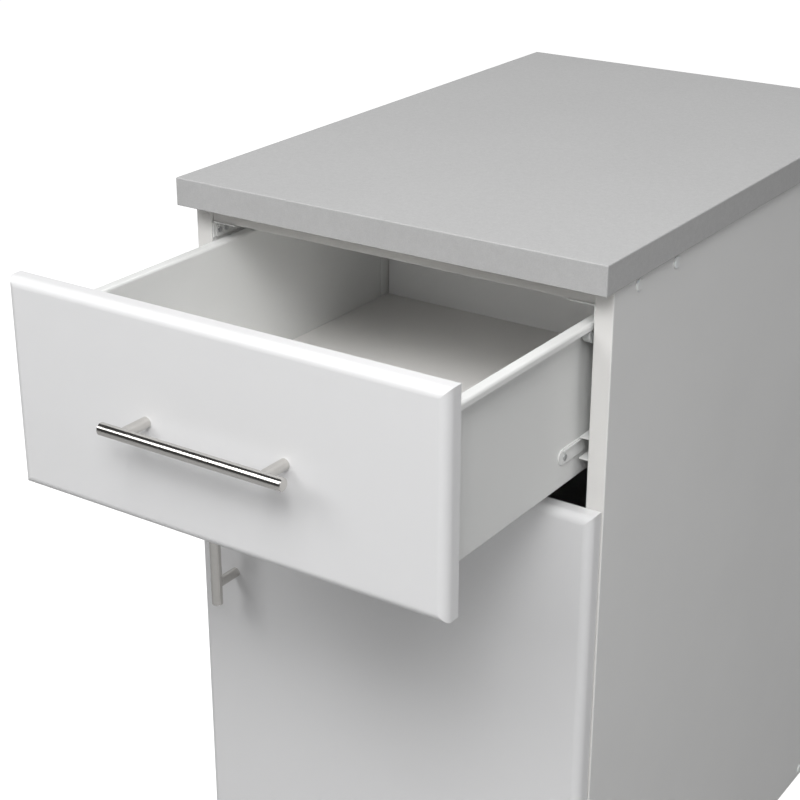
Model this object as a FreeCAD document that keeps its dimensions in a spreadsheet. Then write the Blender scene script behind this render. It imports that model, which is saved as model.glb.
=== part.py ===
"""Kitchen base cabinet, 400 mm wide: worktop, one steel-sided drawer on roller runners, one door.

Millimetres. X runs to the cabinet's right, Y to its back, Z up from the floor.
The drawer is modelled pulled out by drawer_open, and the door is shut.
The origin is on the floor, below the middle of the whole object with the drawer in that place.
"""
import FreeCAD, Part
import os
import re
import Sketcher

SIZES = {
    # worktop and carcass
    "worktop_width": 408, "worktop_depth": 600, "worktop_thickness": 24, "worktop_overhang": 20,
    "carcass_width": 400, "carcass_depth": 560, "carcass_height": 720, "carcass_front": -162.5,
    "board": 16, "leg_height": 150, "edge_round": 1,
    "back_thickness": 3, "back_inset": 15, "groove_depth": 4, "groove_play": 0.2,
    "rail_width": 130, "rail_setback": 3,
    "shelf_setback": 18, "shelf_play": 1,
    "hole_setback": 37, "hole_pitch": 32, "hole_radius": 2.5, "hole_depth": 10, "hole_bottom": 330,
    # fronts
    "front_width": 397, "front_thickness": 16, "front_round": 7.5, "front_gap": 1,
    "drawer_front_height": 173, "drawer_front_drop": 4, "fronts_gap": 6, "door_lift": 2,
    # bar handles
    "bar_radius": 5, "bar_length": 168, "bar_chamfer": 0.6, "post_radius": 4.5, "post_pitch": 128,
    "bar_reach": 27, "drawer_handle_drop": 87, "door_handle_inset": 40, "door_handle_drop": 91,
    # drawer box
    "drawer_open": 206, "steel": 1.2, "wall_gap": 12.5, "side_top_drop": 32, "side_height": 130.7,
    "side_length": 465, "side_flange": 10.9, "side_lip": 5.5, "side_foot": 21.5,
    "bottom_thickness": 12, "back_play": 2.3, "back_drop": 4, "drawer_back_thickness": 16,
    # roller runners
    "runner_drop": 136, "runner_length": 450, "runner_setback": 4, "runner_half": 9.5, "runner_reach": 9.5,
    "upright_depth": 24, "roller_play": 0.3, "roller_width": 7.2, "roller_ease": 0.5, "hub_radius": 3.6,
    "front_roller_radius": 8.5, "front_roller_setback": 11.5, "front_roller_gap": 0.9,
    "rear_roller_radius": 8, "rear_roller_inset": 18, "rear_roller_gap": 2.8,
    "axle_radius": 2, "axle_play": 0.05, "arm_setback": 182, "arm_half": 6.4, "bead": 1,
    # hinges
    "hinge_inset": 100, "cup_radius": 17.5, "cup_depth": 11.5, "cup_wall": 0.8, "cup_edge": 3,
    # caps, brackets, feet, plinth
    "cap_radius": 5.5, "cap_rim": 0.9, "cap_dome": 0.7, "arch_rise": 0.8,
    "confirmat_radius": 3.5, "confirmat_head": 1.5, "confirmat_length": 50,
    "leg_radius": 16, "foot_radius": 28, "foot_thickness": 8, "stem_radius": 9, "stem_play": 0.3,
    "leg_inset": 50, "leg_front": 90, "leg_rear": 60, "plinth_setback": 40, "plinth_lift": 3,
}

TOP = "(leg_height + carcass_height)"
INNER = "(carcass_width / 2 - board)"
BACK_FACE = "(carcass_front + carcass_depth - back_inset - back_thickness)"
FRONT_BACK = "(carcass_front - front_gap)"
DRAWER_BACK = f"({FRONT_BACK} - drawer_open)"
DRAWER_REAR = f"({DRAWER_BACK} + side_length)"
DRAWER_TOP = f"({TOP} - drawer_front_drop)"
DRAWER_LOW = f"({DRAWER_TOP} - drawer_front_height)"
DOOR_TOP = f"({DRAWER_LOW} - fronts_gap)"
DOOR_LOW = "(leg_height + door_lift)"
WALL = f"({INNER} - wall_gap)"
SIDE_TOP = f"({TOP} - side_top_drop)"
SIDE_LOW = f"({SIDE_TOP} - side_height)"
BOTTOM_TOP = f"({SIDE_LOW} + steel + bottom_thickness)"
RUNNER_Z = f"({TOP} - runner_drop)"
CAP_Z = f"({TOP} - board / 2)"
SIDES = {"left": -1, "right": 1}

doc = FreeCAD.newDocument("base_cabinet")
sheet = doc.addObject("Spreadsheet::Sheet", "Sizes")
for row, (alias, number) in enumerate(SIZES.items(), start=1):
    sheet.set(f"A{row}", alias)
    sheet.set(f"B{row}", str(number))
    sheet.setAlias(f"B{row}", alias)
doc.recompute()

nodes = []


def bound(text):
    """An expression on the sheet, from text that uses the plain names of its cells."""
    return re.sub(r"[a-z][a-z_]+", lambda word: "Sizes." + word.group(0), str(text))


def mirrored(side, text):
    """The X of a point on the right-hand side, or of its mirror image on the left."""
    return text if side > 0 else f"-({text})"


def span(side, inner, outer):
    """The lower and higher X of a stretch given for the right-hand side, or of its mirror image."""
    return (inner, outer) if side > 0 else (f"-({outer})", f"-({inner})")


def keep(thing, label):
    """Make an object one of the kept sub-parts."""
    thing.Label = label
    nodes.append(thing)
    return thing


# ---------------------------------------------------------------- plain solids

def place(thing, base, rotation=None):
    if rotation:
        thing.Placement = FreeCAD.Placement(FreeCAD.Vector(), rotation)
    for axis, text in zip("xyz", base):
        thing.setExpression(f"Placement.Base.{axis}", bound(text))


def block(low, high):
    """A box between two corners."""
    box = doc.addObject("Part::Box", "block")
    for name, start, end in zip(("Length", "Width", "Height"), low, high):
        box.setExpression(name, bound(f"({end}) - ({start})"))
    place(box, low)
    return box


TURNS = {
    "+X": FreeCAD.Rotation(FreeCAD.Vector(0, 1, 0), 90), "-X": FreeCAD.Rotation(FreeCAD.Vector(0, 1, 0), -90),
    "+Y": FreeCAD.Rotation(FreeCAD.Vector(1, 0, 0), -90), "-Y": FreeCAD.Rotation(FreeCAD.Vector(1, 0, 0), 90),
    "+Z": FreeCAD.Rotation(), "-Z": FreeCAD.Rotation(FreeCAD.Vector(1, 0, 0), 180),
}
OPPOSITE = {"+X": "-X", "-X": "+X", "+Y": "-Y", "-Y": "+Y", "+Z": "-Z", "-Z": "+Z"}
OUTWARD = {-1: "-X", 1: "+X"}
INWARD = {-1: "+X", 1: "-X"}


def rod(start, way, radius, length):
    """A cylinder from start along one of the axes."""
    cylinder = doc.addObject("Part::Cylinder", "rod")
    cylinder.setExpression("Radius", bound(radius))
    cylinder.setExpression("Height", bound(length))
    place(cylinder, start, TURNS[way])
    return cylinder


def joined(*pieces):
    if len(pieces) == 1:
        return pieces[0]
    union = doc.addObject("Part::MultiFuse", "joined")
    union.Shapes = list(pieces)
    return union


def without(base, *tools):
    cut = doc.addObject("Part::Cut", "without")
    cut.Base = base
    cut.Tool = joined(*tools)
    return cut


def gathered(pieces):
    """Separate solids of one kind, kept in one node."""
    group = doc.addObject("Part::Compound", "gathered")
    group.Links = list(pieces)
    return group


SCREWS = {  # head radius, head height, shank radius, shank length
    "worktop": ("4", "2", "2", "32"),
    "bracket": ("2.4", "0.9", "1.6", "13"),
    "runner": ("3", "0.9", "1.8", "13"),
    "drawer": ("3.5", "1.6", "1.8", "13"),
    "bottom": ("3", "1.2", "1.6", "10"),
    "handle": ("4", "2.4", "2", "front_thickness + 10"),
    "hinge_cup": ("3", "0.6", "1.7", "11"),
    "hinge_plate": ("4", "1.8", "1.9", "14"),
}


def screws(kind, seats):
    """Screws whose heads lie on the seats; each seat's way points from the head into the work."""
    head_radius, head_height, radius, length = SCREWS[kind]
    return [joined(rod(seat, OPPOSITE[way], head_radius, head_height), rod(seat, way, radius, length))
            for seat, way in seats]


def bores(kind, seats):
    """The holes that the screws of these seats fill."""
    radius, length = SCREWS[kind][2:]
    return [rod(seat, way, radius, length) for seat, way in seats]


def cone(start, way, radius, end_radius, length):
    thing = doc.addObject("Part::Cone", "cone")
    thing.setExpression("Radius1", bound(radius))
    thing.setExpression("Radius2", bound(end_radius))
    thing.setExpression("Height", bound(length))
    place(thing, start, TURNS[way])
    return thing


# ---------------------------------------------------------------- sketched bodies

def new_body(name):
    return doc.addObject("PartDesign::Body", name)


def on_plane(body, plane, offset, lift="0"):
    """A sketch parallel to one of the body's origin planes, shifted along its normal and its own Y."""
    sketch = body.newObject("Sketcher::SketchObject", "outline")
    origin = [item for item in body.Origin.OriginFeatures if item.Role == plane][0]
    sketch.AttachmentSupport = [(origin, "")]
    sketch.MapMode = "FlatFace"
    sketch.setExpression("AttachmentOffset.Base.z", bound(offset))
    sketch.setExpression("AttachmentOffset.Base.y", bound(lift))
    return sketch


def outline(body, plane, points, offset="0", lift="0"):
    """A closed polygon whose corners are bound to the sheet."""
    sketch = on_plane(body, plane, offset, lift)
    spread = [FreeCAD.Vector(1000 * index, 700 * (index % 2), 0) for index in range(len(points))]
    for index in range(len(points)):
        sketch.addGeometry(Part.LineSegment(spread[index], spread[(index + 1) % len(points)]), False)
    for index in range(len(points)):
        sketch.addConstraint(Sketcher.Constraint("Coincident", index, 2, (index + 1) % len(points), 1))
    for index, (across, up) in enumerate(points):
        for kind, text in (("DistanceX", across), ("DistanceY", up)):
            number = sketch.addConstraint(Sketcher.Constraint(kind, -1, 1, index, 1, 1.0 + index))
            sketch.setExpression(f"Constraints[{number}]", bound(text))
    return sketch


def disc(body, plane, centre, radius, offset="0"):
    """A circle bound to the sheet."""
    sketch = on_plane(body, plane, offset)
    sketch.addGeometry(Part.Circle(FreeCAD.Vector(5, 5, 0), FreeCAD.Vector(0, 0, 1), 5), False)
    bounds = (("DistanceX", (-1, 1, 0, 3), centre[0]), ("DistanceY", (-1, 1, 0, 3), centre[1]),
              ("Radius", (0,), radius))
    for kind, place_of, text in bounds:
        number = sketch.addConstraint(Sketcher.Constraint(kind, *place_of, 5.0))
        sketch.setExpression(f"Constraints[{number}]", bound(text))
    return sketch


def pad(body, sketch, length):
    feature = body.newObject("PartDesign::Pad", "pad")
    feature.Profile = sketch
    feature.setExpression("Length", bound(length))
    sketch.Visibility = False
    doc.recompute()
    return feature


def revolve(body, sketch):
    """Turn a sketch a full circle about its own horizontal axis."""
    feature = body.newObject("PartDesign::Revolution", "revolution")
    feature.Profile = sketch
    feature.ReferenceAxis = (sketch, ["H_Axis"])
    feature.Angle = 360
    sketch.Visibility = False
    doc.recompute()
    return feature


def edges(shape, wanted):
    return [f"Edge{index}" for index, edge in enumerate(shape.Edges, start=1) if wanted(edge)]


def lies_at(edge, **planes):
    """True where every point of an edge lies in the named planes, such as y=-10."""
    box = edge.BoundBox
    return all(abs(getattr(box, axis.upper() + end) - value) < 1e-4
               for axis, value in planes.items() for end in ("Min", "Max"))


def softened(body, feature, kind, names, size):
    """A fillet or a chamfer on the named edges."""
    dressing = body.newObject(f"PartDesign::{kind}", kind.lower())
    dressing.Base = (feature, names)
    dressing.setExpression("Radius" if kind == "Fillet" else "Size", bound(size))
    doc.recompute()
    return dressing


def front_panel(name, low, high, back):
    """A flat front with its four face edges rounded over; back is the Y of its rear face."""
    body = new_body(name)
    half = "front_width / 2"
    corners = [(f"-{half}", low), (half, low), (half, high), (f"-{half}", high)]
    feature = pad(body, outline(body, "XZ_Plane", corners, f"-({back})"), "front_thickness")
    face = feature.Shape.BoundBox.YMin
    softened(body, feature, "Fillet", edges(feature.Shape, lambda edge: lies_at(edge, y=face)), "front_round")
    return body


def folded(name, points, rear, length):
    """Folded steel sheet of constant section, running forward from rear."""
    body = new_body(name)
    feature = pad(body, outline(body, "XZ_Plane", points, f"-({rear})"), length)
    return body, feature


def banded_board(name, low, high, upright):
    """A board between two corners whose front edge, with its edge band, is rounded over."""
    body = new_body(name)
    (x0, y0, z0), (x1, y1, z1) = low, high
    if upright:
        corners = [(x0, y0), (x1, y0), (x1, y1), (x0, y1)]
        feature = pad(body, outline(body, "XY_Plane", corners, z0), f"{z1} - ({z0})")
    else:
        corners = [(y0, z0), (y1, z0), (y1, z1), (y0, z1)]
        feature = pad(body, outline(body, "YZ_Plane", corners, x0), f"{x1} - ({x0})")
    front = feature.Shape.BoundBox.YMin
    along = "ZLength" if upright else "XLength"
    names = edges(feature.Shape, lambda edge: lies_at(edge, y=front) and getattr(edge.BoundBox, along) > 50)
    softened(body, feature, "Fillet", names, "edge_round")
    return body


# ---------------------------------------------------------------- worktop and carcass

def make_worktop():
    body = new_body("worktop_body")
    front = "carcass_front - worktop_overhang"
    half = "worktop_width / 2"
    corners = [(f"-{half}", front), (half, front),
               (half, f"{front} + worktop_depth"), (f"-{half}", f"{front} + worktop_depth")]
    feature = pad(body, outline(body, "XY_Plane", corners, TOP), "worktop_thickness")
    box = feature.Shape.BoundBox
    names = edges(feature.Shape, lambda edge: edge.BoundBox.ZMax > box.ZMin + 1)
    softened(body, feature, "Fillet", names, "edge_round")
    keep(without(body, *bores("worktop", worktop_screw_seats())), "worktop")
    keep(gathered(screws("worktop", worktop_screw_seats())), "worktop_screws")


def carcass_screw_places():
    """Y and Z of the screws through each side: two in each rail, three in the base."""
    rear_rail = f"{BACK_FACE} - rail_width"
    places = [(f"carcass_front + rail_setback + {step}", CAP_Z) for step in (36, 100)]
    places += [(f"{rear_rail} + {step}", CAP_Z) for step in (30, 94)]
    places += [(f"carcass_front + {step}", "leg_height + board / 2") for step in (39, 280, 506)]
    return places


def shelf_hole_places():
    columns = ("carcass_front + hole_setback", f"{BACK_FACE} - hole_setback")
    return [(column, f"hole_bottom + {step} * hole_pitch") for column in columns for step in range(7)]


def make_side_panel(name, side):
    outer = mirrored(side, "carcass_width / 2")
    inner = mirrored(side, INNER)
    low, high = span(side, INNER, "carcass_width / 2")
    panel = banded_board(f"{name}_body", (low, "carcass_front", "leg_height"),
                         (high, "carcass_front + carcass_depth", TOP), True)
    low, high = span(side, INNER, f"{INNER} + groove_depth + groove_play")
    tools = [block((low, f"{BACK_FACE} - groove_play / 2", "leg_height - 1"),
                   (high, f"{BACK_FACE} + back_thickness + groove_play / 2", f"{TOP} + 1"))]
    for along, up in carcass_screw_places():
        tools.append(rod((outer, along, up), INWARD[side], "confirmat_radius", "board"))
        tools.append(rod((outer, along, up), INWARD[side], "confirmat_radius + confirmat_head", "3"))
    for along, up in shelf_hole_places():
        tools.append(rod((inner, along, up), OUTWARD[side], "hole_radius", "hole_depth"))
    tools += bores("bracket", rail_bracket_seats(side)) + bores("runner", runner_seats(side))
    if side > 0:
        tools += bores("hinge_plate", hinge_plate_seats())
    keep(without(panel, *tools), name)


def make_rail(name, front):
    """A stretcher lying flat under the worktop."""
    half = INNER
    rail = block((f"-{half}", front, f"{TOP} - board"), (half, f"{front} + rail_width", TOP))
    steps = (36, 100) if name.endswith("front") else (30, 94)
    tools = []
    for side, way in INWARD.items():
        for step in steps:
            tools.append(rod((mirrored(side, half), f"{front} + {step}", CAP_Z), way, "confirmat_radius",
                             "confirmat_length - board"))
    tools += bores("worktop", worktop_screw_seats())
    keep(without(rail, *tools), name)


def make_carcass():
    make_side_panel("side_panel_left", -1)
    make_side_panel("side_panel_right", 1)
    base = banded_board("base_body", (f"-{INNER}", "carcass_front", "leg_height"),
                        (INNER, BACK_FACE, "leg_height + board"), False)
    pilots = [rod((mirrored(side, INNER), along, up), way, "confirmat_radius", "confirmat_length - board")
              for side, way in INWARD.items() for along, up in carcass_screw_places()[4:]]
    keep(without(base, *pilots), "base_panel")
    reach = f"{INNER} + groove_depth"
    keep(block((f"-({reach})", BACK_FACE, "leg_height"), (reach, f"{BACK_FACE} + back_thickness", TOP)),
         "back_panel")
    make_rail("top_rail_front", "(carcass_front + rail_setback)")
    make_rail("top_rail_rear", f"({BACK_FACE} - rail_width)")


def make_shelf():
    half = f"({INNER} - shelf_play)"
    pin_z = "(hole_bottom + 3 * hole_pitch)"
    low = f"({pin_z} + hole_radius)"
    keep(banded_board("shelf_body", (f"-{half}", "carcass_front + shelf_setback", low),
                      (half, f"{BACK_FACE} - shelf_play", f"{low} + board"), False), "shelf")
    pins = []
    for side, way in INWARD.items():
        for column in ("carcass_front + hole_setback", f"{BACK_FACE} - hole_setback"):
            face = (mirrored(side, INNER), column, pin_z)
            pins.append(joined(rod(face, way, "hole_radius", "9"),
                               rod(face, OPPOSITE[way], "hole_radius - 0.05", "8")))
    keep(gathered(pins), "shelf_pins")


def make_carcass_screws():
    """Confirmat screws through the sides, and the domed caps that cover their heads."""
    confirmats, caps = [], []
    for side, way in INWARD.items():
        face = mirrored(side, "carcass_width / 2")
        rim = mirrored(side, "carcass_width / 2 + cap_rim")
        for along, up in carcass_screw_places():
            seat = (face, along, up)
            confirmats.append(joined(rod(seat, way, "confirmat_radius + confirmat_head", "3"),
                                     rod(seat, way, "confirmat_radius", "confirmat_length")))
            dome = cone((rim, along, up), OPPOSITE[way], "cap_radius", "cap_radius - 1.4", "cap_dome")
            caps.append(joined(rod(seat, OPPOSITE[way], "cap_radius", "cap_rim"), dome))
    keep(gathered(confirmats), "confirmat_screws")
    keep(gathered(caps), "cover_caps")


def worktop_screw_seats():
    rails = ("carcass_front + rail_setback + rail_width / 2", f"{BACK_FACE} - rail_width / 2")
    return [((mirrored(side, "120"), along, f"{TOP} - board"), "+Z") for side in (-1, 1) for along in rails]


def against_side(side, thickness, low, high, off="0"):
    """A box standing against a cabinet side, or off it, between two corners given in Y and Z."""
    xs = span(side, f"{INNER} - {off} - {thickness}", f"{INNER} - {off}")
    return block((xs[0], *low), (xs[1], *high))


def rail_bracket_seats(side):
    face = mirrored(side, f"{INNER} - steel - arch_rise")
    return [((face, f"(carcass_front + {step})", f"({TOP} - board - 9)"), OUTWARD[side]) for step in (8, 17)]


def make_rail_brackets():
    """Angles that hold the front rail to the sides, each pressed with two arches round its screws."""
    brackets = []
    under = f"({TOP} - board)"
    front, rear = "carcass_front + 1.5", "carcass_front + 45"
    for side, way in OUTWARD.items():
        pieces = [against_side(side, "steel", (front, f"{under} - 14.5"), (rear, under)),
                  against_side(side, "24", (front, f"{under} - steel"), (rear, under))]
        for (face, along, _), _ in rail_bracket_seats(side):
            pieces.append(against_side(side, "arch_rise", (f"{along} - 3.6", f"{under} - 14.5"),
                                       (f"{along} + 3.6", f"{under} - 7"), "steel"))
            pieces.append(rod((face, along, f"{under} - 7"), way, "3.6", "arch_rise"))
        brackets.append(without(joined(*pieces), *bores("bracket", rail_bracket_seats(side))))
    keep(gathered(brackets), "rail_brackets")
    keep(gathered(screws("bracket", rail_bracket_seats(-1) + rail_bracket_seats(1))), "rail_bracket_screws")


# ---------------------------------------------------------------- legs and plinth

LEGS = {"front_left": (-1, "leg_front"), "front_right": (1, "leg_front"),
        "rear_left": (-1, "carcass_depth - leg_rear"), "rear_right": (1, "carcass_depth - leg_rear")}


def leg_axis(name):
    side, along = LEGS[name]
    return mirrored(side, "carcass_width / 2 - leg_inset"), f"(carcass_front + {along})"


def make_legs():
    for name in LEGS:
        across, along = leg_axis(name)
        plate = block((f"{across} - 30", f"{along} - 30", "leg_height - 4"),
                      (f"{across} + 30", f"{along} + 30", "leg_height"))
        collar = rod((across, along, "leg_height - 22"), "+Z", "leg_radius + 4", "20")
        tube = rod((across, along, "30"), "+Z", "leg_radius", "leg_height - 32")
        ribs = [block((f"{across} - 27", f"{along} - 1.5", "leg_height - 16"),
                      (f"{across} + 27", f"{along} + 1.5", "leg_height - 3")),
                block((f"{across} - 1.5", f"{along} - 27", "leg_height - 16"),
                      (f"{across} + 1.5", f"{along} + 27", "leg_height - 3"))]
        bore = rod((across, along, "29"), "+Z", "stem_radius + stem_play", "30")
        keep(without(joined(plate, collar, tube, *ribs), bore), f"leg_{name}")
        foot = joined(rod((across, along, "0"), "+Z", "foot_radius", "foot_thickness"),
                      rod((across, along, "foot_thickness"), "+Z", "stem_radius", "46"))
        notches = [block((f"{across} - foot_radius - 1", f"{along} - 2", "2"),
                         (f"{across} - foot_radius + 4", f"{along} + 2", "foot_thickness + 1")),
                   block((f"{across} + foot_radius - 4", f"{along} - 2", "2"),
                         (f"{across} + foot_radius + 1", f"{along} + 2", "foot_thickness + 1"))]
        keep(without(foot, *notches), f"foot_{name}")


def make_plinth():
    front = "(carcass_front + plinth_setback)"
    rear = f"({front} + board)"
    half = "carcass_width / 2"
    keep(block((f"-({half})", front, "plinth_lift"), (half, rear, "leg_height - 2")), "plinth_panel")
    clips = []
    for name in ("front_left", "front_right"):
        across, along = leg_axis(name)
        ring = rod((across, along, "70"), "+Z", "leg_radius + 3", "24")
        bridge = block((f"{across} - 9", rear, "70"), (f"{across} + 9", along, "94"))
        bore = rod((across, along, "69"), "+Z", "leg_radius + 0.3", "26")
        mouth = block((f"{across} - 12", f"{along} + 2", "69"), (f"{across} + 12", f"{along} + 25", "95"))
        clips.append(without(joined(ring, bridge), bore, mouth))
    keep(gathered(clips), "plinth_clips")


# ---------------------------------------------------------------- drawer

def make_drawer_side(name, side):
    """Steel side: wall, foot turned in under the bottom, top rim turned out and down over the roller."""
    wall_in = f"({WALL} - steel)"
    flange = f"({wall_in} + side_flange)"
    section = [(f"{WALL} - side_foot", SIDE_LOW), (WALL, SIDE_LOW), (WALL, f"{SIDE_TOP} - steel"),
               (f"{flange} - steel", f"{SIDE_TOP} - steel"), (f"{flange} - steel", f"{SIDE_TOP} - side_lip"),
               (flange, f"{SIDE_TOP} - side_lip"), (flange, SIDE_TOP), (wall_in, SIDE_TOP),
               (wall_in, f"{SIDE_LOW} + steel"), (f"{WALL} - side_foot", f"{SIDE_LOW} + steel")]
    points = [(mirrored(side, across), up) for across, up in section]
    body, feature = folded(name, points, DRAWER_REAR, "side_length")
    box = feature.Shape.BoundBox
    edge_x = box.XMax if side > 0 else box.XMin
    wall_x = edge_x - side * SIZES["side_flange"]
    outer = edges(feature.Shape, lambda edge: lies_at(edge, x=edge_x, z=box.ZMax)
                  or lies_at(edge, x=wall_x, z=box.ZMax)
                  or lies_at(edge, x=wall_x + side * SIZES["steel"], z=box.ZMin))
    feature = softened(body, feature, "Fillet", outer, "2 * steel")
    steel = SIZES["steel"]
    inner = edges(feature.Shape, lambda edge: lies_at(edge, x=edge_x - side * steel, z=box.ZMax - steel)
                  or lies_at(edge, x=wall_x + side * steel, z=box.ZMax - steel))
    softened(body, feature, "Fillet", inner, "steel")
    return body


def drawer_bracket_seats(face):
    """Two screws in each corner angle, driven forward from its rear face."""
    across = f"{WALL} - steel - 15"
    return [((mirrored(side, across), face, up), "-Y") for side in (-1, 1)
            for up in (f"{BOTTOM_TOP} + 20", f"{SIDE_TOP} - 26")]


FRONT_ANGLES = drawer_bracket_seats(f"{DRAWER_BACK} + steel")
BACK_ANGLES = drawer_bracket_seats(f"{DRAWER_REAR} + steel")


def bottom_seats(side):
    """Screws up through a side's foot into the drawer bottom."""
    return [((mirrored(side, f"{WALL} - 12"), f"{DRAWER_BACK} + {along}", SIDE_LOW), "+Z")
            for along in (60, 230, 400)]


def make_drawer_box():
    for name, side in SIDES.items():
        body = make_drawer_side(f"drawer_side_{name}_body", side)
        keep(without(body, *bores("bottom", bottom_seats(side))), f"drawer_side_{name}")
    half = f"({WALL} - steel - 0.2)"
    bottom = block((f"-{half}", DRAWER_BACK, f"{SIDE_LOW} + steel"), (half, DRAWER_REAR, BOTTOM_TOP))
    keep(without(bottom, *bores("bottom", bottom_seats(-1) + bottom_seats(1))), "drawer_bottom")
    half = f"({WALL} - steel - back_play)"
    back = block((f"-{half}", f"{DRAWER_REAR} - drawer_back_thickness", BOTTOM_TOP),
                 (half, DRAWER_REAR, f"{SIDE_TOP} - back_drop"))
    keep(without(back, *bores("drawer", BACK_ANGLES)), "drawer_back")


def angle(side, along_y, leg_y, width, low, high):
    """A steel corner angle: one leg along the inside of a drawer wall, one of this width across it."""
    wall_in = f"{WALL} - steel"
    legs = []
    for reach, (front, rear) in (("steel", along_y), (width, leg_y)):
        xs = span(side, f"{wall_in} - {reach}", wall_in)
        legs.append(block((xs[0], front, low), (xs[1], rear, high)))
    return joined(*legs)


def make_drawer_brackets():
    low, high = f"{BOTTOM_TOP} + 2", f"{SIDE_TOP} - 8"
    behind = f"{DRAWER_REAR} + steel"
    rear = [angle(side, (f"{DRAWER_REAR} - 28", behind), (DRAWER_REAR, behind), "30", low, high)
            for side in (-1, 1)]
    keep(without(gathered(rear), *bores("drawer", BACK_ANGLES)), "drawer_back_brackets")
    front = [angle(side, (DRAWER_BACK, f"{DRAWER_BACK} + 24"), (DRAWER_BACK, f"{DRAWER_BACK} + steel"),
                   "24", low, high) for side in (-1, 1)]
    keep(without(gathered(front), *bores("drawer", FRONT_ANGLES)), "drawer_front_brackets")
    keep(gathered(screws("drawer", FRONT_ANGLES + BACK_ANGLES)
                  + screws("bottom", bottom_seats(-1) + bottom_seats(1))), "drawer_screws")


# ---------------------------------------------------------------- roller runners

FRONT_ROLLER = ("(carcass_front + front_roller_setback)",
                f"({SIDE_TOP} - steel - roller_play - front_roller_radius)")
REAR_ROLLER = (f"({DRAWER_REAR} - rear_roller_inset)", RUNNER_Z)


def runner_seats(side):
    face = mirrored(side, f"{INNER} - steel")
    return [((face, f"(carcass_front + {step})", RUNNER_Z), OUTWARD[side]) for step in (37, 229, 421)]


def make_runner(name, side):
    """The cabinet's runner: a channel for the rear roller, with an upright at its front for the front one."""
    front = "(carcass_front + runner_setback)"
    tip = f"({INNER} - runner_reach)"
    section = [(INNER, f"{RUNNER_Z} - runner_half"), (INNER, f"{RUNNER_Z} + runner_half"),
               (tip, f"{RUNNER_Z} + runner_half"), (tip, f"{RUNNER_Z} + runner_half - steel"),
               (f"{INNER} - steel", f"{RUNNER_Z} + runner_half - steel"),
               (f"{INNER} - steel", f"{RUNNER_Z} - runner_half + steel"),
               (tip, f"{RUNNER_Z} - runner_half + steel"), (tip, f"{RUNNER_Z} - runner_half")]
    points = [(mirrored(side, across), height) for across, height in section]
    body, feature = folded(f"{name}_body", points, f"{front} + runner_length", "runner_length")
    box = feature.Shape.BoundBox
    web = box.XMax if side > 0 else box.XMin
    corners = (box.ZMin, box.ZMax)
    folds = edges(feature.Shape, lambda edge: any(lies_at(edge, x=web, z=height) for height in corners))
    softened(body, feature, "Fillet", folds, "steel")
    upright = against_side(side, "steel", (front, RUNNER_Z),
                           (f"{front} + upright_depth", f"{SIDE_TOP} - steel"))
    seat = (mirrored(side, f"{INNER} - steel"), *FRONT_ROLLER)
    axle_hole = rod(seat, OUTWARD[side], "axle_radius", "steel")
    keep(without(joined(body, upright), axle_hole, *bores("runner", runner_seats(side))), name)


def make_roller(name, side, centre, radius, inner, outer):
    """A nylon roller with eased rims and dished faces, between two X given for the right-hand side."""
    body = new_body(f"{name}_body")
    bore = "axle_radius + axle_play"
    lip = f"{radius} - 1.6"
    dish = "0.9"
    section = [(inner, bore), (inner, "hub_radius"), (f"{inner} + {dish}", "hub_radius"),
               (f"{inner} + {dish}", lip), (inner, lip), (inner, f"{radius} - roller_ease"),
               (f"{inner} + roller_ease", radius), (f"{outer} - roller_ease", radius),
               (outer, f"{radius} - roller_ease"), (outer, lip), (f"{outer} - {dish}", lip),
               (f"{outer} - {dish}", "hub_radius"), (outer, "hub_radius"), (outer, bore)]
    along, up = centre
    points = [(mirrored(side, across), height) for across, height in section]
    revolve(body, outline(body, "XZ_Plane", points, f"-({along})", up))
    keep(body, name)


def make_runners():
    front_in = f"({WALL} + front_roller_gap)"
    front_out = f"({front_in} + roller_width)"
    rear_in = f"({WALL} + rear_roller_gap)"
    rear_out = f"({rear_in} + roller_width)"
    front_axles, rear_axles = [], []
    for name, side in SIDES.items():
        make_runner(f"runner_{name}", side)
        make_roller(f"front_roller_{name}", side, FRONT_ROLLER, "front_roller_radius", front_in, front_out)
        make_roller(f"rear_roller_{name}", side, REAR_ROLLER, "rear_roller_radius", rear_in, rear_out)
        outer_face = (mirrored(side, INNER), *FRONT_ROLLER)
        shoulder = (mirrored(side, f"{INNER} - steel"), *FRONT_ROLLER)
        front_axles.append(joined(
            rod(outer_face, INWARD[side], "axle_radius", f"{INNER} - {front_in}"),
            rod(shoulder, INWARD[side], "axle_radius + 1.2", f"{INNER} - steel - {front_out} - 0.2")))
        wall_face = (mirrored(side, WALL), *REAR_ROLLER)
        collar = (mirrored(side, f"{WALL} + steel"), *REAR_ROLLER)
        rear_axles.append(joined(
            rod(wall_face, OUTWARD[side], "axle_radius", f"{rear_out} - {WALL}"),
            rod(collar, OUTWARD[side], "axle_radius + 1.2", "rear_roller_gap - steel - 0.2")))
        make_roller_arm(f"roller_arm_{name}", side)
    keep(gathered(front_axles), "front_roller_axles")
    keep(gathered(rear_axles), "rear_roller_axles")
    keep(gathered(screws("runner", runner_seats(-1) + runner_seats(1))), "runner_screws")
    keep(gathered([rivet for side in (-1, 1) for rivet in arm_rivets(side)]), "arm_rivets")


def on_wall(side, thickness, low, high, off="0"):
    """A box standing on the outside of a drawer wall, or off it, between two corners given in Y and Z."""
    xs = span(side, f"{WALL} + {off}", f"{WALL} + {off} + {thickness}")
    return block((xs[0], *low), (xs[1], *high))


ARM_FRONT = f"({DRAWER_BACK} + arm_setback)"


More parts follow.
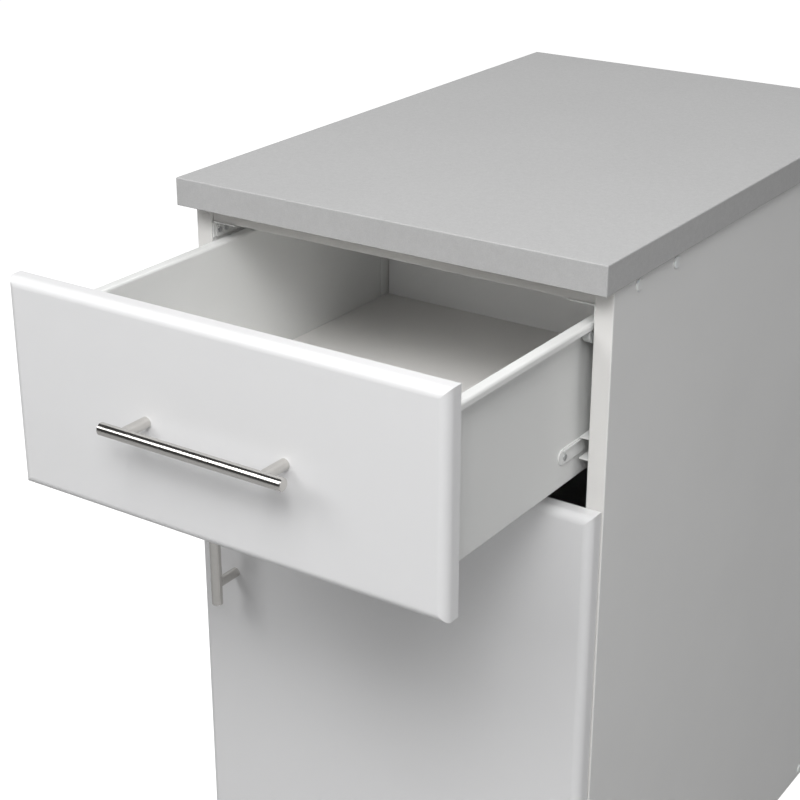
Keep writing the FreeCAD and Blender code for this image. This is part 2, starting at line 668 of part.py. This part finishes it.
def make_roller_arm(name, side):
    """The strip outside a drawer wall that carries the rear roller: round front end, pressed bead."""
    start = f"{ARM_FRONT} + arm_half"
    plate = on_wall(side, "steel", (start, f"{RUNNER_Z} - arm_half"), (DRAWER_REAR, f"{RUNNER_Z} + arm_half"))
    nose = rod((mirrored(side, WALL), start, RUNNER_Z), OUTWARD[side], "arm_half", "steel")
    bead = on_wall(side, "bead", (start, f"{RUNNER_Z} + 4"),
                   (f"{DRAWER_REAR} - rear_roller_inset - 12", f"{RUNNER_Z} + 5.6"), "steel")
    axle_hole = rod((mirrored(side, WALL), *REAR_ROLLER), OUTWARD[side], "axle_radius", "steel")
    keep(without(joined(plate, nose, bead), axle_hole), name)


def arm_rivets(side):
    places = [f"{ARM_FRONT} + {step}" for step in (9, 110, 210)]
    return [rod((mirrored(side, f"{WALL} + steel"), along, f"{RUNNER_Z} - 1"), OUTWARD[side], "2.4", "0.8")
            for along in places]


# ---------------------------------------------------------------- handles and fronts

def make_handle(name, centre, upright):
    """A bar on two posts. centre is the point on the front's face behind the middle of the bar."""
    across, face, up = centre
    axis_y = f"({face} - bar_reach)"
    body = new_body(f"{name}_body")
    if upright:
        sketch = disc(body, "XY_Plane", (across, axis_y), "bar_radius", f"{up} - bar_length / 2")
    else:
        sketch = disc(body, "YZ_Plane", (axis_y, up), "bar_radius", f"{across} - bar_length / 2")
    feature = pad(body, sketch, "bar_length")
    rims = edges(feature.Shape, lambda edge: edge.Curve.TypeId == "Part::GeomCircle")
    softened(body, feature, "Chamfer", rims, "bar_chamfer")
    keep(body, f"{name}_bar")
    posts, places = [], []
    for sign in ("-", "+"):
        step = f"{sign} post_pitch / 2"
        places.append((across, f"{up} {step}") if upright else (f"{across} {step}", up))
    seats = [((x, f"{face} + front_thickness", z), "-Y") for x, z in places]
    for x, z in places:
        post = rod((x, face, z), "-Y", "post_radius", "bar_reach")
        if upright:
            core = rod((across, axis_y, f"{z} - 20"), "+Z", "bar_radius", "40")
        else:
            core = rod((f"{x} - 20", axis_y, up), "+X", "bar_radius", "40")
        posts.append(without(post, core))
    keep(without(gathered(posts), *bores("handle", seats)), f"{name}_posts")
    keep(gathered(screws("handle", seats)), f"{name}_screws")
    return seats


def make_bumpers(name, places, back):
    keep(gathered([rod((x, back, z), "+Y", "4", "front_gap - 0.1") for x, z in places]), name)


def make_drawer_front():
    face = f"({DRAWER_BACK} - front_thickness)"
    seats = make_handle("drawer_handle", ("0", face, f"({DRAWER_TOP} - drawer_handle_drop)"), False)
    body = front_panel("drawer_front_body", DRAWER_LOW, DRAWER_TOP, DRAWER_BACK)
    holes = bores("handle", seats) + bores("drawer", FRONT_ANGLES)
    keep(without(body, *holes), "drawer_front")
    corners = [(mirrored(side, "carcass_width / 2 - board / 2"), z)
               for side in (-1, 1) for z in (f"{DRAWER_LOW} + 20", f"{DRAWER_TOP} - 20")]
    make_bumpers("drawer_bumpers", corners, DRAWER_BACK)


def hinge_heights():
    return {"upper": f"({DOOR_TOP} - hinge_inset)", "lower": f"({DOOR_LOW} + hinge_inset)"}


CUP_X = "(front_width / 2 - cup_edge - cup_radius)"


def hinge_cup_solid(up):
    """The cup's outer shape, with its flange let into the back of the door."""
    cup = rod((CUP_X, FRONT_BACK, up), "-Y", "cup_radius", "cup_depth")
    flange = block((f"{CUP_X} - 12", f"{FRONT_BACK} - cup_wall", f"{up} - 31"),
                   (f"{CUP_X} + 6", FRONT_BACK, f"{up} + 31"))
    return joined(cup, flange)


def hinge_cup_seats():
    return [((f"{CUP_X} - 5.5", FRONT_BACK, f"{up} + {step}"), "-Y")
            for up in hinge_heights().values() for step in (-26, 26)]


PLATE_Y = "(carcass_front + hole_setback)"


def hinge_plate_seats():
    return [((f"{INNER} - 2.5", PLATE_Y, f"{up} + {step}"), "+X")
            for up in hinge_heights().values() for step in (-16, 16)]


def make_door():
    face = f"({FRONT_BACK} - front_thickness)"
    handle_x = "(-front_width / 2 + door_handle_inset)"
    seats = make_handle("door_handle", (handle_x, face, f"({DOOR_TOP} - door_handle_drop)"), True)
    body = front_panel("door_body", DOOR_LOW, DOOR_TOP, FRONT_BACK)
    recesses = [hinge_cup_solid(up) for up in hinge_heights().values()]
    holes = bores("handle", seats) + bores("hinge_cup", hinge_cup_seats())
    keep(without(body, *holes, *recesses), "door_panel")
    make_bumpers("door_bumpers", [("-carcass_width / 2 + board / 2", f"{DOOR_TOP} - 20"),
                                  ("-carcass_width / 2 + board / 2", f"{DOOR_LOW} + 30")], FRONT_BACK)


def make_hinges():
    """Concealed hinges: cup in the door, arm reaching round the panel's front edge, plate on the panel."""
    plates = []
    front = "carcass_front"
    bent = [("169.25", f"{front} + 67"), ("169.25", f"{front} - 5.4"), ("175.6", f"{front} - 9.25"),
            ("186", f"{front} - 9.25"), ("186", f"{front} - 7.75"), ("176.3", f"{front} - 7.75"),
            ("170.75", f"{front} - 4.6"), ("170.75", f"{front} + 12"), ("178.5", f"{front} + 18"),
            ("178.5", f"{front} + 67")]
    for name, up in hinge_heights().items():
        hollow = rod((CUP_X, FRONT_BACK, up), "-Y", "cup_radius - cup_wall", "cup_depth - cup_wall")
        holes = bores("hinge_cup", hinge_cup_seats())
        keep(without(hinge_cup_solid(up), hollow, *holes), f"hinge_cup_{name}")
        arm = new_body(f"arm_{name}")
        feature = pad(arm, outline(arm, "XY_Plane", bent, f"{up} - 8"), "16")
        box = feature.Shape.BoundBox
        heel = edges(feature.Shape, lambda edge: lies_at(edge, x=box.XMin, y=box.YMax))
        softened(arm, feature, "Fillet", heel, "3")
        keep(arm, f"hinge_arm_{name}")
        wing = block((f"{INNER} - 2.5", f"{PLATE_Y} - 11", f"{up} - 24"),
                     (INNER, f"{PLATE_Y} + 11", f"{up} + 24"))
        saddle = block(("178.5", f"{PLATE_Y} - 18", f"{up} - 6"), (INNER, f"{PLATE_Y} + 28", f"{up} + 6"))
        plates.append(joined(wing, saddle))
    keep(without(gathered(plates), *bores("hinge_plate", hinge_plate_seats())), "hinge_plates")
    keep(gathered(screws("hinge_plate", hinge_plate_seats())), "hinge_plate_screws")
    keep(gathered(screws("hinge_cup", hinge_cup_seats())), "hinge_cup_screws")


make_worktop()
make_carcass()
make_shelf()
make_carcass_screws()
make_rail_brackets()
make_legs()
make_plinth()
make_drawer_front()
make_drawer_box()
make_drawer_brackets()
make_runners()
make_door()
make_hinges()
doc.recompute()

for thing in doc.Objects:
    if "Invalid" in thing.State or "Error" in thing.State:
        raise RuntimeError(f"{thing.Name} ({thing.Label}) failed: {thing.State}")
for node in nodes:
    if node.Shape.isNull() or not node.Shape.isValid() or not node.Shape.Solids:
        raise RuntimeError(f"{node.Label} has no valid shape")

os.makedirs("parts", exist_ok=True)
for node in nodes:
    node.Shape.exportStep(f"parts/{node.Label}.step")
print(len(nodes), "sub-parts written")
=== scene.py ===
"""The looks of a kitchen base cabinet: materials, small detail, a plain studio and the camera.

Metres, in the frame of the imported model: X to the cabinet's right, Y to its back, Z up from the floor.
"""
import math

import bpy
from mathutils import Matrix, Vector

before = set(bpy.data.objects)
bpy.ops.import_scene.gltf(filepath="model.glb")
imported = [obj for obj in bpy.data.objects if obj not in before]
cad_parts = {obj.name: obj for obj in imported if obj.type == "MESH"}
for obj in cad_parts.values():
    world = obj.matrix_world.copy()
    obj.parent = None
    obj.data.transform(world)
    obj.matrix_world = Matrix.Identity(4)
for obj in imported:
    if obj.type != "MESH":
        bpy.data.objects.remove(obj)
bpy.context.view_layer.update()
MM = 0.001


# ---------------------------------------------------------------- camera

def build_camera():
    """A plain camera that looks down on the open drawer from the right."""
    place = Vector((0.757, -1.261, 1.304))
    azimuth, downward = math.radians(34.23), math.radians(23.16)
    gaze = Vector((-math.sin(azimuth) * math.cos(downward), math.cos(azimuth) * math.cos(downward),
                   -math.sin(downward)))
    lens = bpy.data.cameras.new("camera")
    lens.sensor_width = 36
    lens.lens = 79.5
    lens.clip_start, lens.clip_end = 0.05, 50
    camera = bpy.data.objects.new("camera", lens)
    bpy.context.scene.collection.objects.link(camera)
    bpy.context.scene.camera = camera
    camera.location = place
    camera.rotation_mode = "QUATERNION"
    camera.rotation_quaternion = gaze.to_track_quat("-Z", "Y")


# ---------------------------------------------------------------- material helpers

class Surface:
    """A node material: a Principled shader and a few named ways of adding detail to it."""

    def __init__(self, name, color, roughness, metallic=0.0, **fixed):
        self.material = bpy.data.materials.new(name)
        self.material.use_nodes = True
        self.tree = self.material.node_tree
        self.shader = next(n for n in self.tree.nodes if n.type == "BSDF_PRINCIPLED")
        self.shader.inputs["Base Color"].default_value = (*color, 1)
        self.shader.inputs["Roughness"].default_value = roughness
        self.shader.inputs["Metallic"].default_value = metallic
        for socket, value in fixed.items():
            self.shader.inputs[socket.replace("_", " ").title()].default_value = value
        self.color = None
        self.plain = color
        self.coordinates = self.node("ShaderNodeTexCoord")
        self.bumps = []

    def node(self, kind, **settings):
        made = self.tree.nodes.new(kind)
        for name, value in settings.items():
            setattr(made, name, value)
        return made

    def feed(self, socket, value):
        """Link a socket, or set its number."""
        if isinstance(value, bpy.types.NodeSocket):
            self.tree.links.new(value, socket)
        elif value is not None:
            socket.default_value = value

    def math(self, operation, first, second=None, clamp=False):
        made = self.node("ShaderNodeMath", operation=operation, use_clamp=clamp)
        self.feed(made.inputs[0], first)
        self.feed(made.inputs[1], second)
        return made.outputs[0]

    def stretched(self, scale):
        """Object coordinates, stretched by three factors."""
        made = self.node("ShaderNodeMapping")
        self.feed(made.inputs["Vector"], self.coordinates.outputs["Object"])
        made.inputs["Scale"].default_value = scale
        return made.outputs["Vector"]

    def noise(self, per_metre, detail=2.0, stretch=(1, 1, 1), roughness=0.5):
        """Noise from 0 to 1, with this many cells to the metre."""
        made = self.node("ShaderNodeTexNoise")
        self.feed(made.inputs["Vector"], self.stretched(stretch))
        made.inputs["Scale"].default_value = per_metre
        made.inputs["Detail"].default_value = detail
        made.inputs["Roughness"].default_value = roughness
        return made.outputs[0]

    def cells(self, per_metre, output):
        made = self.node("ShaderNodeTexVoronoi")
        self.feed(made.inputs["Vector"], self.stretched((1, 1, 1)))
        made.inputs["Scale"].default_value = per_metre
        return made.outputs[output]

    def ranged(self, value, low, high, start=0.0, end=1.0):
        made = self.node("ShaderNodeMapRange")
        self.feed(made.inputs["Value"], value)
        made.inputs["From Min"].default_value = start
        made.inputs["From Max"].default_value = end
        made.inputs["To Min"].default_value = low
        made.inputs["To Max"].default_value = high
        return made.outputs["Result"]

    def mixed(self, factor, first, second, blend="MIX"):
        made = self.node("ShaderNodeMix", data_type="RGBA", blend_type=blend)
        self.feed(made.inputs["Factor"], factor)
        for socket, value in ((made.inputs["A"], first), (made.inputs["B"], second)):
            colors = [s for s in made.inputs if s.name == socket.name and s.type == "RGBA"]
            self.feed(colors[0], value if isinstance(value, bpy.types.NodeSocket) else (*value, 1))
        return next(s for s in made.outputs if s.type == "RGBA")

    def facing(self, axis, sign=1):
        """1 where the surface faces that way in the model's frame, else 0."""
        parts = self.node("ShaderNodeSeparateXYZ")
        self.feed(parts.inputs[0], self.coordinates.outputs["Normal"])
        return self.math("GREATER_THAN", self.math("MULTIPLY", parts.outputs[axis], sign), 0.6)

    def tint(self, factor, color, blend="MIX"):
        """Lay a colour over what is there, by a factor."""
        self.color = self.mixed(factor, self.color or self.plain, color, blend)

    def vary(self, value, spread, start=0.3, end=0.7):
        """Lighten and darken the colour by a share, following a pattern."""
        shade = self.ranged(value, 1 - spread, 1 + spread, start, end)
        grey = self.node("ShaderNodeCombineColor")
        for socket in grey.inputs[:3]:
            self.feed(socket, shade)
        self.color = self.mixed(1.0, self.color or self.plain, grey.outputs[0], "MULTIPLY")

    def roughen(self, value, low, high, start=0.3, end=0.7):
        self.feed(self.shader.inputs["Roughness"], self.ranged(value, low, high, start, end))

    def bump(self, height, depth, strength=1.0):
        """Raise the surface by depth metres where height is 1."""
        made = self.node("ShaderNodeBump")
        made.inputs["Strength"].default_value = strength
        made.inputs["Distance"].default_value = depth
        self.feed(made.inputs["Height"], height)
        if self.bumps:
            self.feed(made.inputs["Normal"], self.bumps[-1])
        self.bumps.append(made.outputs["Normal"])

    def soft_edges(self, radius):
        made = self.node("ShaderNodeBevel", samples=6)
        made.inputs["Radius"].default_value = radius
        self.bumps.append(made.outputs["Normal"])

    def done(self):
        if self.color is not None:
            self.feed(self.shader.inputs["Base Color"], self.color)
        if self.bumps:
            self.feed(self.shader.inputs["Normal"], self.bumps[-1])
        return self.material


# ---------------------------------------------------------------- materials

CHIP_TAN, CHIP_DARK = (0.42, 0.29, 0.17), (0.20, 0.12, 0.06)
# The drawer board white is the carcass board white made lighter: painted light, standing in for the light
# that falls into the open drawer.
BOARD_WHITE, DRAWER_BOARD_LIT_WHITE, EDGE_BAND = (0.79, 0.79, 0.785), (0.91, 0.91, 0.91), (0.83, 0.82, 0.80)


def add_chipboard(surface, where):
    """Raw chipboard on the faces named by where: tan chips with dark ones among them."""
    chips = surface.cells(420, "Color")
    chip_color = surface.mixed(surface.ranged(chips, 0, 1, 0.3, 0.8), CHIP_DARK, CHIP_TAN)
    surface.tint(where, chip_color)


def board(name, color, raw_faces, banded_faces):
    """Melamine-faced chipboard: a fine pearl grain, edge banding on some faces and raw chips on others."""
    surface = Surface(name, color, 0.42)
    surface.soft_edges(0.4 * MM)
    surface.vary(surface.noise(9, 3), 0.012)
    grain = surface.noise(1700, 2)
    surface.roughen(surface.noise(14, 3), 0.38, 0.47)
    surface.bump(grain, 0.02 * MM, 0.35)
    for axis, sign in banded_faces:
        surface.tint(surface.facing(axis, sign), EDGE_BAND)
    for axis, sign in raw_faces:
        add_chipboard(surface, surface.facing(axis, sign))
    return surface.done()


def worktop_laminate():
    """Grey laminate with a fine two-scale speckle, grey-white backing foil below, raw board behind."""
    surface = Surface("worktop_laminate", (0.475, 0.475, 0.475), 0.5)
    surface.soft_edges(0.6 * MM)
    surface.vary(surface.noise(900, 3), 0.05)
    surface.vary(surface.noise(190, 3), 0.025)
    surface.vary(surface.noise(7, 2), 0.012)
    surface.roughen(surface.noise(400, 3), 0.42, 0.56)
    surface.bump(surface.noise(1300, 3), 0.03 * MM, 0.5)
    surface.tint(surface.facing("Z", -1), (0.42, 0.41, 0.39))
    add_chipboard(surface, surface.facing("Y", 1))
    return surface.done()


def front_foil():
    """Satin white foil pressed over the fronts: almost flat, with the slight waviness of a pressed film."""
    surface = Surface("front_foil", (0.80, 0.80, 0.805), 0.36)
    surface.vary(surface.noise(6, 2), 0.008)
    surface.roughen(surface.noise(18, 4), 0.33, 0.42)
    surface.bump(surface.noise(120, 2), 0.02 * MM, 0.25)
    surface.bump(surface.noise(1400, 2), 0.008 * MM, 0.3)
    return surface.done()


def hardboard():
    """Back panel: white lacquer inside, brown screen-pressed hardboard outside."""
    surface = Surface("hardboard", (0.74, 0.74, 0.73), 0.5)
    surface.vary(surface.noise(12, 2), 0.015)
    fibres = surface.noise(700, 4, (1, 1, 0.35))
    brown = surface.mixed(surface.ranged(fibres, 0, 1, 0.3, 0.7), (0.19, 0.11, 0.055), (0.30, 0.19, 0.10))
    behind = surface.facing("Y", 1)
    surface.tint(behind, brown)
    mesh = surface.cells(520, "Distance")
    surface.bump(surface.math("MULTIPLY", mesh, behind), 0.12 * MM, 0.6)
    return surface.done()


def powder_coat():
    """White powder coat on steel: a slight orange peel."""
    surface = Surface("powder_coat", (0.79, 0.795, 0.785), 0.38)
    surface.soft_edges(0.3 * MM)
    surface.vary(surface.noise(15, 2), 0.012)
    surface.roughen(surface.noise(60, 3), 0.34, 0.43)
    surface.bump(surface.noise(520, 2), 0.03 * MM, 0.35)
    return surface.done()


def zinc():
    """Bright zinc plate on rolled steel: long faint rolling lines, cloudy patches of sheen."""
    surface = Surface("zinc", (0.62, 0.63, 0.64), 0.34, 1.0)
    surface.soft_edges(0.25 * MM)
    surface.vary(surface.noise(40, 4), 0.10)
    surface.vary(surface.noise(2200, 2, (1, 0.03, 1)), 0.07)
    surface.roughen(surface.noise(90, 3), 0.26, 0.42)
    surface.bump(surface.noise(2600, 2, (1, 0.02, 1)), 0.01 * MM, 0.35)
    return surface.done()


def nickel():
    """Polished nickel plate with a faint haze."""
    surface = Surface("nickel", (0.66, 0.645, 0.62), 0.13, 1.0)
    surface.roughen(surface.noise(160, 4), 0.10, 0.16)
    surface.vary(surface.noise(300, 3), 0.02)
    surface.bump(surface.noise(900, 2), 0.003 * MM, 0.25)
    return surface.done()


def white_plastic():
    surface = Surface("white_plastic", (0.80, 0.80, 0.79), 0.34, subsurface_weight=0.05)
    surface.vary(surface.noise(60, 2), 0.01)
    surface.roughen(surface.noise(150, 3), 0.30, 0.40)
    surface.bump(surface.noise(1500, 2), 0.008 * MM, 0.3)
    return surface.done()


def black_plastic():
    """Black moulded plastic with a fine spark-eroded texture."""
    surface = Surface("black_plastic", (0.028, 0.028, 0.030), 0.5)
    surface.soft_edges(0.5 * MM)
    surface.vary(surface.noise(80, 2), 0.12)
    surface.roughen(surface.noise(260, 3), 0.42, 0.6)
    surface.bump(surface.noise(1900, 3), 0.03 * MM, 0.5)
    return surface.done()


def clear_rubber():
    surface = Surface("clear_rubber", (0.80, 0.80, 0.77), 0.28, transmission_weight=0.5)
    surface.roughen(surface.noise(900, 2), 0.24, 0.34)
    return surface.done()


def paint_nodes():
    """Give every CAD node its material."""
    upright_board = board("board_sides", BOARD_WHITE, [("Y", 1), ("Z", 1), ("Z", -1)], [("Y", -1)])
    flat_board = board("board_flat", BOARD_WHITE, [("Y", 1), ("X", 1), ("X", -1)], [("Y", -1)])
    plinth_board = board("board_plinth", BOARD_WHITE, [("X", 1), ("X", -1)], [("Z", -1)])
    # The drawer's bottom and back get the lighter white: painted light inside the drawer, on the same
    # melamine board.
    lit_drawer_board = board("board_drawer_painted_light", DRAWER_BOARD_LIT_WHITE, [("X", 1), ("X", -1)], [("Z", 1)])
    zinc_plate, coat, foil = zinc(), powder_coat(), front_foil()
    white, black, metal = white_plastic(), black_plastic(), nickel()
    looks = {
        "worktop": worktop_laminate(), "back_panel": hardboard(), "plinth_panel": plinth_board,
        "side_panel": upright_board, "base_panel": flat_board, "top_rail": flat_board, "shelf": flat_board,
        "drawer_bottom": lit_drawer_board, "drawer_back": lit_drawer_board, "drawer_front": foil, "door_panel": foil,
        "drawer_side": coat, "drawer_front_brackets": coat, "drawer_back_brackets": coat,
        "rail_brackets": coat, "runner": coat, "roller_arm": coat, "arm_rivets": zinc_plate,
        "front_roller": white, "rear_roller": white, "front_roller_axles": zinc_plate,
        "rear_roller_axles": zinc_plate, "runner_screws": zinc_plate, "hinge": zinc_plate,
        "shelf_pins": zinc_plate,
        "confirmat_screws": zinc_plate, "worktop_screws": zinc_plate, "rail_bracket_screws": zinc_plate,
        "drawer_screws": zinc_plate, "drawer_handle_screws": zinc_plate,
        "door_handle_screws": zinc_plate, "drawer_handle": metal, "door_handle": metal,
        "cover_caps": white, "drawer_bumpers": clear_rubber(),
        "door_bumpers": clear_rubber(), "leg": black, "foot": black, "plinth_clips": black,
    }
    for name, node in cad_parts.items():
        key = max((k for k in looks if name.startswith(k)), key=len)
        for holder in node.material_slots:
            holder.material = looks[key]


# ---------------------------------------------------------------- studio

AIM = Vector((0, 0, 0.5))
FLOOR_REACH = 15
FLOOR_GLOW, SURROUND_GLOW, SURROUND_LIGHT = 0.97, 1.0, 0.06
LIGHTS = {  # place, width of the square, watts
    "overhead": ((0.2, 0.2, 3.2), 2.4, 11),
    "high_left": ((-1.6, -2.6, 3.0), 1.8, 46),
    "high_front": ((0.6, -2.0, 3.4), 1.6, 49),
    "high_right": ((1.6, -2.4, 3.2), 1.2, 42),
    "side": ((3.0, -0.9, 2.2), 1.5, 18),
    "behind": ((-1.2, 2.0, 3.5), 1.8, 26),
}


def area_light(name, place, width, power):
    data = bpy.data.lights.new(name, "AREA")
    data.shape = "RECTANGLE"
    data.size = data.size_y = width
    data.energy = power
    light = bpy.data.objects.new(name, data)
    bpy.context.scene.collection.objects.link(light)
    light.location = place
    light.rotation_euler = (AIM - Vector(place)).to_track_quat("-Z", "Y").to_euler()


def build_studio():
    """Soft lights all round; the floor and surround glow white to the camera but light the object less."""
    floor = bpy.data.meshes.new("floor")
    corners = [(x * FLOOR_REACH, y * FLOOR_REACH, 0) for x, y in ((-1, -1), (1, -1), (1, 1), (-1, 1))]
    floor.from_pydata(corners, [], [(0, 1, 2, 3)])
    floor_object = bpy.data.objects.new("floor", floor)
    bpy.context.scene.collection.objects.link(floor_object)
    paint = Surface("floor", (0.45, 0.45, 0.45), 0.6)
    paint.vary(paint.noise(3, 2), 0.004)
    seen = paint.node("ShaderNodeLightPath").outputs["Is Camera Ray"]
    paint.shader.inputs["Emission Color"].default_value = (1, 1, 1, 1)
    paint.feed(paint.shader.inputs["Emission Strength"], paint.math("MULTIPLY", seen, FLOOR_GLOW))
    floor.materials.append(paint.done())
    world = bpy.data.worlds.new("studio")
    world.use_nodes = True
    bpy.context.scene.world = world
    background = next(n for n in world.node_tree.nodes if n.type == "BACKGROUND")
    background.inputs["Color"].default_value = (1, 1, 1, 1)
    path = world.node_tree.nodes.new("ShaderNodeLightPath")
    brightness = world.node_tree.nodes.new("ShaderNodeMapRange")
    brightness.inputs["To Min"].default_value = SURROUND_LIGHT
    brightness.inputs["To Max"].default_value = SURROUND_GLOW
    world.node_tree.links.new(path.outputs["Is Camera Ray"], brightness.inputs["Value"])
    world.node_tree.links.new(brightness.outputs["Result"], background.inputs["Strength"])
    for name, (place, width, power) in LIGHTS.items():
        area_light(name, place, width, power)
    bpy.context.scene.view_settings.view_transform = "Standard"


build_camera()
paint_nodes()
build_studio()
